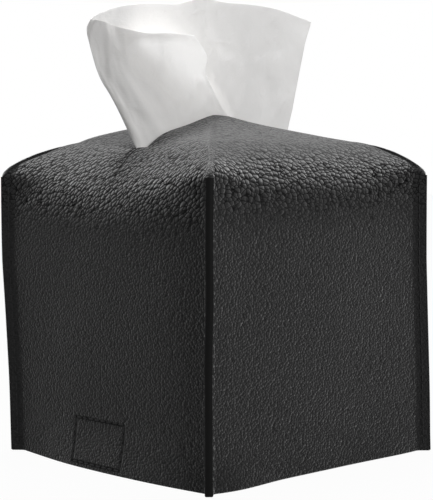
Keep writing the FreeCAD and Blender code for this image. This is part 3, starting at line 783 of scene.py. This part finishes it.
def cloth_finish(name, tone, pitch):
    """A plain weave of fine threads."""
    paint = Paint(name)
    place = paint.place()
    x, y, z = paint.axes(place)
    over, under = ((x + y) * turns(pitch)).sine(), ((z + y - x) * turns(pitch)).sine()
    weave = over * under * 0.5 + 0.5
    worn = paint.noise(place, 60, 3.0)
    base = paint.mix(weave, shade(tone, 0.6), tone)
    base = paint.mix(worn * 0.4, base, shade(tone, 1.5))
    return paint.surface({
        "Base Color": base,
        "Roughness": 0.85 + 0.1 * worn,
        "Specular IOR Level": 0.2,
        "Normal": paint.bump(weave, 0.6, 0.0002),
    })


def painted_edge_finish(name, tone):
    """Smooth edge paint with a slight ripple."""
    paint = Paint(name)
    ripple = paint.noise(paint.place(), 260, 3.0)
    return paint.surface({
        "Base Color": paint.mix(ripple, shade(tone, 0.8), shade(tone, 1.3)),
        "Roughness": 0.42 + 0.2 * ripple,
        "Specular IOR Level": 0.07,
        "Normal": paint.bump(ripple, 0.25, 0.0003),
    })


def thread_finish(name, tone, pitch):
    """Twisted polyester thread."""
    paint = Paint(name)
    x, y, z = paint.axes(paint.place())
    twist = ((x + y + z) * turns(pitch)).sine() * 0.5 + 0.5
    return paint.surface({
        "Base Color": paint.mix(twist, shade(tone, 0.5), tone),
        "Roughness": 0.5 + 0.2 * twist,
        "Specular IOR Level": 0.25,
        "Normal": paint.bump(twist, 0.5, 0.0001),
    })


def pile_finish(name, tone, scale):
    """The furry or bristly side of a fastener."""
    paint = Paint(name)
    pile = paint.step(paint.cells(paint.place(), scale, "F1"), 0.0, 0.7)
    return paint.surface({
        "Base Color": paint.mix(pile, shade(tone, 1.8), shade(tone, 0.3)),
        "Roughness": 0.7 + 0.25 * pile,
        "Specular IOR Level": 0.3,
        "Normal": paint.bump(1 - pile, 0.9, 0.0004),
    })


def board_finish(name, tone):
    """Uncoated carton board with pale fibres."""
    paint = Paint(name)
    place = paint.place()
    fibre = paint.noise(paint.wander(place, 80, 0.004), 420, 4.0)
    cloud = paint.noise(place, 24, 2.0)
    base = paint.mix(fibre, shade(tone, 0.9), shade(tone, 1.06))
    base = paint.mix(cloud * 0.25, base, shade(tone, 0.85))
    return paint.surface({
        "Base Color": base,
        "Roughness": 0.62 + 0.2 * fibre,
        "Specular IOR Level": 0.3,
        "Normal": paint.bump(fibre, 0.25, 0.0002),
    })


def film_finish(name, tone):
    """Thin clear film with faint stretch marks."""
    paint = Paint(name)
    stretch = paint.noise(paint.wander(paint.place(), 30, 0.01), 90, 3.0)
    return paint.surface({
        "Base Color": paint.mix(stretch, shade(tone, 0.95), tone),
        "Roughness": 0.12 + 0.15 * stretch,
        "Alpha": 0.3 + 0.12 * stretch,
        "Normal": paint.bump(stretch, 0.2, 0.0003),
    })


def tissue_finish(name, tone, pitch):
    """Soft creped paper with faint crumpled lines."""
    paint = Paint(name)
    place = paint.place()
    z = paint.axes(place)[2]
    fibre = paint.noise(place, 900, 3.0)
    crepe = (z * turns(pitch) + fibre * 5.0).sine() * 0.5 + 0.5
    cloud = paint.noise(place, 55, 3.0)
    lines = [abs(paint.noise(paint.wander(place, 30, 0.02), scale, 1.0) - 0.5) for scale in (45, 110)]
    crumple = (1 - paint.step(lines[0], 0.0, 0.08)) + 0.4 * (1 - paint.step(lines[1], 0.0, 0.07))
    return paint.surface({
        "Base Color": paint.mix(cloud, shade(tone, 0.985), shade(tone, 1.015)),
        "Roughness": 0.9 + 0.06 * fibre,
        "Specular IOR Level": 0.1,
        "Subsurface Weight": 0.4,
        "Subsurface Radius": (1.0, 1.0, 1.0),
        "Subsurface Scale": 0.002,
        "Normal": paint.bump(crepe * 0.1 + fibre + 1.2 * cloud + 0.9 * crumple, 0.2, 0.0004),
    })


# Each finish's maker, its material's name, its colour among the finishes and what else the maker asks for
FINISHES = {
    "leather": (leather_finish, "pebbled_leather", "leather", True),
    "strap": (leather_finish, "strap_leather", "leather", False),
    "lining": (cloth_finish, "lining_cloth", "lining", 0.0012),
    "edge_paint": (painted_edge_finish, "painted_edge", "edge_paint"),
    "thread": (thread_finish, "twisted_thread", "thread", 0.0007),
    "hook": (pile_finish, "hook_bristle", "fastener", 900),
    "loop": (pile_finish, "loop_pile", "fastener", 1500),
    "carton": (board_finish, "carton_board", "carton"),
    "film": (film_finish, "clear_film", "film"),
    "tissue": (tissue_finish, "creped_tissue", "tissue", 0.0011),
}


def finish_of(context, finish):
    """The material of a finish, made once."""
    make, name, tone, *more = FINISHES[finish]
    return bpy.data.materials.get(name) or make(name, getattr(context.scene.cover_finishes, tone), *more)


# Stitches


def one_stitch(sizes, axis):
    """One stitch of thread along an axis, at the origin."""
    clear_selection()
    bpy.ops.mesh.primitive_uv_sphere_add(segments=8, ring_count=6, radius=sizes.thread / 2)
    piece = bpy.context.object
    reach = sizes.span / sizes.thread
    stretch = [reach if index == axis else 1.0 for index in range(3)]
    bpy.ops.transform.resize(value=stretch)
    bake_place(piece)
    return piece


def stitch_row(sizes, axis, start, step, count):
    """A row of stitches, in millimetres."""
    row = one_stitch(sizes, axis)
    offset = [0.0, 0.0, 0.0]
    offset[axis] = step * MM
    use_modifier(row, "ARRAY", count=count, use_relative_offset=False, use_constant_offset=True,
                 constant_offset_displace=offset)
    pick(row)
    bpy.ops.transform.translate(value=Vector(start) * MM)
    bake_place(row)
    return row


def stitch_box(sizes, flat, level, low, high):
    """A rectangle of stitches on a plane across the flat axis, from its low to its high corner."""
    axes = [axis for axis in range(3) if axis != flat]
    rows = []
    for run, across in (axes, axes[::-1]):
        reach = high[run] - low[run]
        count = max(1, round(reach / (sizes.pitch / MM)))
        step = reach / count
        for edge in (low[across], high[across]):
            start = [0.0, 0.0, 0.0]
            start[flat], start[run], start[across] = level, low[run] + step / 2, edge
            rows.append(stitch_row(sizes, run, start, step, count))
    return join("stitch_box", *rows)


# Operators, one for each group of pieces


class TISSUE_OT_leather_cover(bpy.types.Operator):
    """Models the leather cover with its flanges, ears, shoulders and slit"""
    bl_idname = "tissue_cover.leather"
    bl_label = "Leather cover"

    def execute(self, context):
        form = CoverForm(context.scene.cover_sizes)
        ply = form.ply
        outer = [form.wall_row(0.0, 0.0, HEM_ROUND)] + form.skin(0.0, HEM_RISE, 26, 24, 26)
        lip = [form.crown_row(1.0, ply * share) for share in (0.3, 0.7)]
        inner = form.skin(ply, HEM_RISE, 14, 12, 14)
        rows = outer + lip + inner[::-1] + [form.wall_row(0.0, ply - HEM_ROUND), outer[0]]
        cover = form.shell("leather_shell", rows, 38)
        dress(context, cover, "cover", "leather", "leather_cover")
        return {"FINISHED"}


class TISSUE_OT_lining(bpy.types.Operator):
    """Models the lining cloth on the leather's back"""
    bl_idname = "tissue_cover.lining"
    bl_label = "Lining"

    def execute(self, context):
        sizes = context.scene.cover_sizes
        form = CoverForm(sizes)
        top = form.ply + BOND_GAP
        face, back = [form.skin(depth, sizes.lining_hem / MM, 14, 12, 12, 0.93)
                      for depth in (top, top + sizes.lining / MM)]
        lining = form.shell("lining_shell", face + back[::-1] + [face[0]], 40)
        dress(context, lining, "cover", "lining", "cover_lining")
        return {"FINISHED"}


class TISSUE_OT_edge_paint(bpy.types.Operator):
    """Models the painted bead on each flange's edge"""
    bl_idname = "tissue_cover.edge_paint"
    bl_label = "Edge paint"

    def execute(self, context):
        form = CoverForm(context.scene.cover_sizes)
        middle = form.reach + BEAD_PROUD - BEAD_RADIUS
        clear_selection()
        bpy.ops.mesh.primitive_circle_add(vertices=48, radius=BEAD_RADIUS * MM, fill_type="NGON",
                                          location=(middle * MM, 0, BEAD_LIFT * MM))
        bead = bpy.context.object
        bake_place(bead)
        bpy.ops.object.mode_set(mode="EDIT")
        bpy.ops.mesh.select_all(action="SELECT")
        bpy.ops.mesh.bisect(plane_co=((form.reach - BEAD_SUNK) * MM, 0, 0), plane_no=(1, 0, 0),
                            clear_inner=True)
        bpy.ops.mesh.select_all(action="SELECT")
        rise = (form.seam_top - BEAD_LIFT) * MM / BEAD_STEPS
        for _ in range(BEAD_STEPS):
            bpy.ops.mesh.extrude_region_move(TRANSFORM_OT_translate={"value": (0, 0, rise)})
        bpy.ops.object.mode_set(mode="OBJECT")
        close_seams(bead, 50)
        beads = [bead]
        for turn in range(1, 4):
            copy = copy_of(bead, "edge_bead")
            copy.data.transform(Matrix.Rotation(math.pi / 2 * turn, 4, "Z"))
            beads.append(copy)
        beads = join("edge_paint_beads", *beads)
        beads.data.transform(Matrix.Rotation(math.pi / 4, 4, "Z"))
        move_points(beads, form.soft)
        dress(context, beads, "cover", "edge_paint", "seam_edge_paint")
        return {"FINISHED"}


class TISSUE_OT_seam_threads(bpy.types.Operator):
    """Models the stitches of the four corner seams"""
    bl_idname = "tissue_cover.seam_threads"
    bl_label = "Seam threads"

    def execute(self, context):
        form = CoverForm(context.scene.cover_sizes)
        sizes = context.scene.stitch_sizes
        run = form.reach - sizes.seam_inset / MM
        face = form.ply + STITCH_PROUD
        first = SEAM_START + sizes.span / MM / 2
        rows = [stitch_row(sizes, 2, (run, side, first), sizes.pitch / MM, sizes.seam_count)
                for side in (-face, face)]
        seam = join("seam_stitches", *rows)
        smooth(seam)
        corners = {"front_left": -135, "front_right": -45, "back_right": 45, "back_left": 135}
        for corner, degrees in corners.items():
            copy = copy_of(seam, "seam_stitches_" + corner)
            copy.data.transform(Matrix.Rotation(math.radians(degrees), 4, "Z"))
            move_points(copy, form.soft)
            dress(context, copy, "cover", "thread", "seam_thread_" + corner)
        bpy.data.objects.remove(seam)
        return {"FINISHED"}


class TISSUE_OT_box_threads(bpy.types.Operator):
    """Models the stitched rectangles that hold the straps and the fastener's patches"""
    bl_idname = "tissue_cover.box_threads"
    bl_label = "Box threads"

    def execute(self, context):
        form = CoverForm(context.scene.cover_sizes)
        sizes = context.scene.stitch_sizes
        inset = sizes.thread / MM / 2
        for node, body, flat in (("belt_anchor_thread", "cover", 0), ("keeper_anchor_thread", "cover", 0),
                                 ("hook_patch_thread", "belt", 2), ("loop_patch_thread", "cover", 2)):
            low, high = [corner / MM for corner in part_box(node)]
            levels = [low[flat] + inset, high[flat] - inset]
            if flat == 0:
                outside = -1 if low[0] < 0 else 1
                levels = [outside * (form.half + STITCH_PROUD),
                          outside * (form.half - SEWN_DEPTH - STITCH_PROUD)]
            corners = [[corner[axis] + inset * way for axis in range(3)]
                       for corner, way in ((low, 1), (high, -1))]
            boxes = [stitch_box(sizes, flat, level, *corners) for level in levels]
            whole = join(node.replace("_thread", "_stitches"), *boxes)
            smooth(whole)
            if flat == 0:
                shift = Vector((0, 1, 1)) * (outside < 0)
                move_points(whole, lambda point: form.soft(point - shift))
            dress(context, whole, body, "thread", node)
        return {"FINISHED"}


def strap(name, sizes, path, tip_at_end):
    """A flat strap along a path in the XZ plane, with a rounded free end, in millimetres."""
    width, offset, tip_radius = sizes.width / MM, sizes.offset / MM, sizes.tip_radius / MM
    spots = even([(x, 0, z) for x, z in path], STRAP_STEPS + 1)
    run = run_lengths(spots)

    def cut_back(radius, gap):
        """How much a rounded corner takes off the half width, at a gap from the strap's end."""
        return radius - math.sqrt(max(0.0, radius ** 2 - (radius - gap) ** 2)) if gap < radius else 0

    def place(column, row):
        gap = run[-1] - run[column] if tip_at_end else run[column]
        half = width / 2 - cut_back(tip_radius, gap) - cut_back(SEWN_RADIUS, run[-1] - gap)
        spot = spots[column]
        return spot.x, offset + half * (2 * row / STRAP_ROWS - 1), spot.z

    piece = grid_piece(name, STRAP_STEPS, STRAP_ROWS, place)
    use_modifier(piece, "SOLIDIFY", thickness=sizes.thickness, offset=0)
    use_modifier(piece, "BEVEL", width=STRAP_EDGE, segments=2, limit_method="ANGLE")
    close_seams(piece, 45)
    return piece


class TISSUE_OT_belt(bpy.types.Operator):
    """Models the belt: its sewn end, its fold and its free length"""
    bl_idname = "tissue_cover.belt"
    bl_label = "Belt"

    def execute(self, context):
        form = CoverForm(context.scene.cover_sizes)
        path = [(-60.8, 24), (-60.8, 19), (-60.8, 14), (-60.8, 9), (-60.8, 5), (-60.75, 2.6), (-60.1, 1.35),
                (-58.7, 1), (-55, 1), (-40, 1), (-20, 1), (0, 1), (20, 1), (40, 1), (55.4, 1)]
        belt = strap("belt", context.scene.strap_sizes, path, True)
        move_points(belt, lambda point: point.lerp(form.soft(point), ease(2, 6, point.z)))
        dress(context, belt, None, "leather", "belt_anchor_tab", "belt_strap", finish="strap")
        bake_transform(belt)
        return {"FINISHED"}


class TISSUE_OT_keeper(bpy.types.Operator):
    """Models the keeper strap that the belt closes on"""
    bl_idname = "tissue_cover.keeper"
    bl_label = "Keeper"

    def execute(self, context):
        form = CoverForm(context.scene.cover_sizes)
        path = [(17.4, 4.2), (25, 4.2), (35, 4.2), (45, 4.2), (55, 4.2), (58.7, 4.2), (60.1, 4.55),
                (60.75, 5.8), (60.8, 9), (60.8, 14), (60.8, 19), (60.8, 24)]
        keeper = strap("keeper", context.scene.strap_sizes, path, False)
        move_points(keeper, lambda point: point.lerp(form.soft(point), ease(5, 9, point.z)))
        dress(context, keeper, "cover", "leather", "keeper_strap", finish="strap")
        return {"FINISHED"}


class TISSUE_OT_fastener(bpy.types.Operator):
    """Models the hook patch on the belt and the loop patch on the keeper"""
    bl_idname = "tissue_cover.fastener"
    bl_label = "Fastener"

    def execute(self, context):
        for node, body, slot in (("hook_patch", "belt", "hook"), ("loop_patch", "cover", "loop")):
            low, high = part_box(node)
            clear_selection()
            bpy.ops.mesh.primitive_cube_add(size=1, location=(low + high) / 2)
            patch = bpy.context.object
            patch.scale = high - low
            bake_place(patch)
            bpy.ops.object.mode_set(mode="EDIT")
            bpy.ops.mesh.select_all(action="DESELECT")
            bpy.ops.object.mode_set(mode="OBJECT")
            for edge in patch.data.edges:
                a, b = (patch.data.vertices[index].co for index in edge.vertices)
                edge.select = abs(a.z - b.z) > 1e-5
            bpy.ops.object.mode_set(mode="EDIT")
            bpy.ops.mesh.select_mode(type="EDGE")
            bpy.ops.mesh.bevel(offset=PATCH_CORNER, segments=4)
            bpy.ops.object.mode_set(mode="OBJECT")
            use_modifier(patch, "BEVEL", width=PATCH_EDGE, segments=2, limit_method="ANGLE")
            patch.name = patch.data.name = node.replace("_patch", "_fastener")
            close_seams(patch)
            dress(context, patch, body, slot, node)
        return {"FINISHED"}


class TISSUE_OT_carton(bpy.types.Operator):
    """Gives the carton and its film their board and film finishes"""
    bl_idname = "tissue_cover.carton"
    bl_label = "Carton"

    def execute(self, context):
        for node, slot in (("tissue_carton", "carton"), ("carton_film", "film")):
            wear(context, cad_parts[node], slot)
        return {"FINISHED"}


class TISSUE_OT_stack(bpy.types.Operator):
    """Models the folded tissues that are left in the carton"""
    bl_idname = "tissue_cover.stack"
    bl_label = "Tissue stack"

    def execute(self, context):
        low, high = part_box("tissue_stack")
        count = context.scene.tissue_sizes.leaves
        rise = (high.z - low.z) / count
        clear_selection()
        middle = (low + high) / 2
        bpy.ops.mesh.primitive_cube_add(size=1, location=(middle.x, middle.y, low.z + rise / 2))
        leaf = bpy.context.object
        leaf.scale = (high.x - low.x - LEAF_INSET, high.y - low.y - LEAF_INSET, rise - LEAF_GAP)
        bake_place(leaf)
        use_modifier(leaf, "BEVEL", width=LEAF_ROUND, segments=3, limit_method="ANGLE")
        leaves = [leaf]
        for index in range(1, count):
            copy = copy_of(leaf, "leaf")
            shift = noise.noise_vector(Vector((index * 3.7, 1.3, 0.4))) * LEAF_SHIFT
            copy.data.transform(Matrix.Translation((shift.x, shift.y, rise * index)))
            leaves.append(copy)
        stack = join("folded_tissues", *leaves)
        smooth(stack, 40)
        dress(context, stack, "cover", "tissue", "tissue_stack")
        return {"FINISHED"}


class TISSUE_OT_raised_tissue(bpy.types.Operator):
    """Models the folded tissue that stands out of the slit"""
    bl_idname = "tissue_cover.raised_tissue"
    bl_label = "Raised tissue"

    def execute(self, context):
        sizes = context.scene.tissue_sizes
        foot = corner_mm("raised_tissue", 2, False) + 0.3
        spines = []
        for index, column in enumerate(TISSUE_COLUMNS):
            x, lip = column[0][0], column[0][2]
            inside = 1.6 * (index < FOLD_COLUMN) - 1.6 * (index > FOLD_COLUMN)
            tail = [(x * (0.96 + 0.01 * step), inside, height)
                    for step, height in enumerate((foot, 75, 105, lip - 10))]
            spines.append(even(tail + column, TISSUE_ROWS + 1))
        depth = sizes.wrinkle / MM

        def place(column, row):
            u = column / TISSUE_STEPS
            spot = through([spine[row] for spine in spines], u)
            lift = ease(100, 150, spot.z)
            pleat = 1.15 * math.sin(u * 2 * math.pi * PLEATS) * (1 - ease(100, 142, spot.z))
            wave = noise.noise(Vector((u * 17, row / 9, 0.7)))
            wave += 0.4 * noise.noise(Vector((u * 40, row / 5, 4.1)))
            bend = noise.noise(Vector((u * 10 + row / 30, row / 9, 7.3)))
            sharp = noise.noise(Vector((u * 19 - row / 16, row / 6, 1.9)))
            gather = 1.5 * (0.28 - math.sqrt(bend * bend + 0.003))
            gather += 0.6 * (0.25 - math.sqrt(sharp * sharp + 0.001))
            gather *= ease(138, 150, spot.z) * (1 - bell(u - FOLD_SHARE, 0.05))
            gather *= 0.4 + 0.6 * ease(0.55, 0.7, u)
            out = tissue_relief(spot, u)
            stand = Vector((1.3, -0.6, 0.4)) * ease(138, 160, spot.z)
            return spot + stand + Vector((0.25 * wave * lift + FACING[0] * out,
                                          wave * depth * lift + pleat + gather + FACING[1] * out,
                                          0.3 * wave * ease(180, 195, spot.z)))

        tissue = grid_piece("raised_tissue_sheet", TISSUE_STEPS, TISSUE_ROWS, place)
        use_modifier(tissue, "SOLIDIFY", thickness=sizes.sheet, offset=0)
        smooth(tissue, 70)
        dress(context, tissue, "tissue", "tissue", "raised_tissue")
        return {"FINISHED"}


def area_light(name, place, target, size, power):
    clear_selection()
    bpy.ops.object.light_add(type="AREA", location=place)
    lamp = bpy.context.object
    lamp.name = name
    lamp.data.size = size
    lamp.data.energy = power
    lamp.rotation_euler = (Vector(target) - Vector(place)).to_track_quat("-Z", "Y").to_euler()


class TISSUE_OT_stage(bpy.types.Operator):
    """Sets up the pale floor, the studio light and the camera"""
    bl_idname = "tissue_cover.stage"
    bl_label = "Stage"

    def execute(self, context):
        scene = context.scene
        clear_selection()
        bpy.ops.mesh.primitive_plane_add(size=8, location=(0, 0, -0.0001))
        floor = bpy.context.object
        floor.name = "floor"
        bake_place(floor)
        paint = Paint("pale_floor")
        matte = paint.add("ShaderNodeBsdfDiffuse", {}, {"Color": (0.15, 0.15, 0.15, 1)})
        white = paint.add("ShaderNodeEmission", {}, {"Color": (1, 1, 1, 1), "Strength": 1.0})
        share = paint.backdrop_rays() * 0.97
        floor.data.materials.append(
            paint.output(paint.add("ShaderNodeMixShader", {}, {0: share, 1: matte, 2: white})))

        sky = Paint("studio", "worlds")
        level = sky.add("ShaderNodeMapRange", {}, {0: sky.backdrop_rays(), 3: 0.25, 4: 1.0})
        glow = sky.add("ShaderNodeBackground", {}, {"Color": (1, 1, 1, 1), "Strength": level})
        scene.world = sky.output(glow, "World")

        area_light("overhead_panel", (0.1, 0.19, 1.1), (0, 0, 0.1), 0.4, 27.5)
        area_light("side_panel", (-0.15, -1.2, 0.6), (0, 0, 0.1), 0.5, 8.2)

        clear_selection()
        bpy.ops.object.camera_add()
        camera = bpy.context.object
        camera.name = "photo_camera"
        around, pitch, roll = map(math.radians, CAMERA_ANGLES)
        turn = Matrix.Rotation(around, 4, "Z") @ Matrix.Rotation(math.pi / 2 + pitch, 4, "X")
        camera.matrix_world = Matrix.Translation(CAMERA_PLACE) @ turn @ Matrix.Rotation(roll, 4, "Z")
        camera.data.sensor_width = SENSOR
        camera.data.lens = PHOTO_FOCAL * SENSOR / PHOTO_HEIGHT
        camera.data.clip_start = 0.01
        scene.camera = camera
        scene.view_settings.view_transform = "Standard"
        return {"FINISHED"}


OPERATORS = (TISSUE_OT_leather_cover, TISSUE_OT_lining, TISSUE_OT_edge_paint, TISSUE_OT_seam_threads,
             TISSUE_OT_box_threads, TISSUE_OT_belt, TISSUE_OT_keeper, TISSUE_OT_fastener, TISSUE_OT_carton,
             TISSUE_OT_stack, TISSUE_OT_raised_tissue, TISSUE_OT_stage)
GROUPS = {"cover_sizes": CoverSizes, "stitch_sizes": StitchSizes, "strap_sizes": StrapSizes,
          "tissue_sizes": TissueSizes, "cover_finishes": Finishes}


class TISSUE_PT_cover(bpy.types.Panel):
    """Lists the sizes, the colours and the modelling steps"""
    bl_label = "Tissue Cover"
    bl_idname = "TISSUE_PT_cover"
    bl_space_type = "VIEW_3D"
    bl_region_type = "UI"
    bl_category = "Tissue Cover"

    def draw(self, context):
        for name, group in GROUPS.items():
            box = self.layout.box()
            for field in group.__annotations__:
                box.prop(getattr(context.scene, name), field)
        for operator in OPERATORS:
            self.layout.operator(operator.bl_idname)


CLASSES = (*GROUPS.values(), *OPERATORS, TISSUE_PT_cover)


def register():
    for entry in CLASSES:
        bpy.utils.register_class(entry)
    for name, group in GROUPS.items():
        setattr(bpy.types.Scene, name, PointerProperty(type=group))


def unregister():
    for name in GROUPS:
        delattr(bpy.types.Scene, name)
    for entry in reversed(CLASSES):
        bpy.utils.unregister_class(entry)


def main():
    register()
    steps = bpy.ops.tissue_cover
    for operator in OPERATORS:
        getattr(steps, operator.bl_idname.split(".")[1])()


if __name__ == "__main__":
    main()
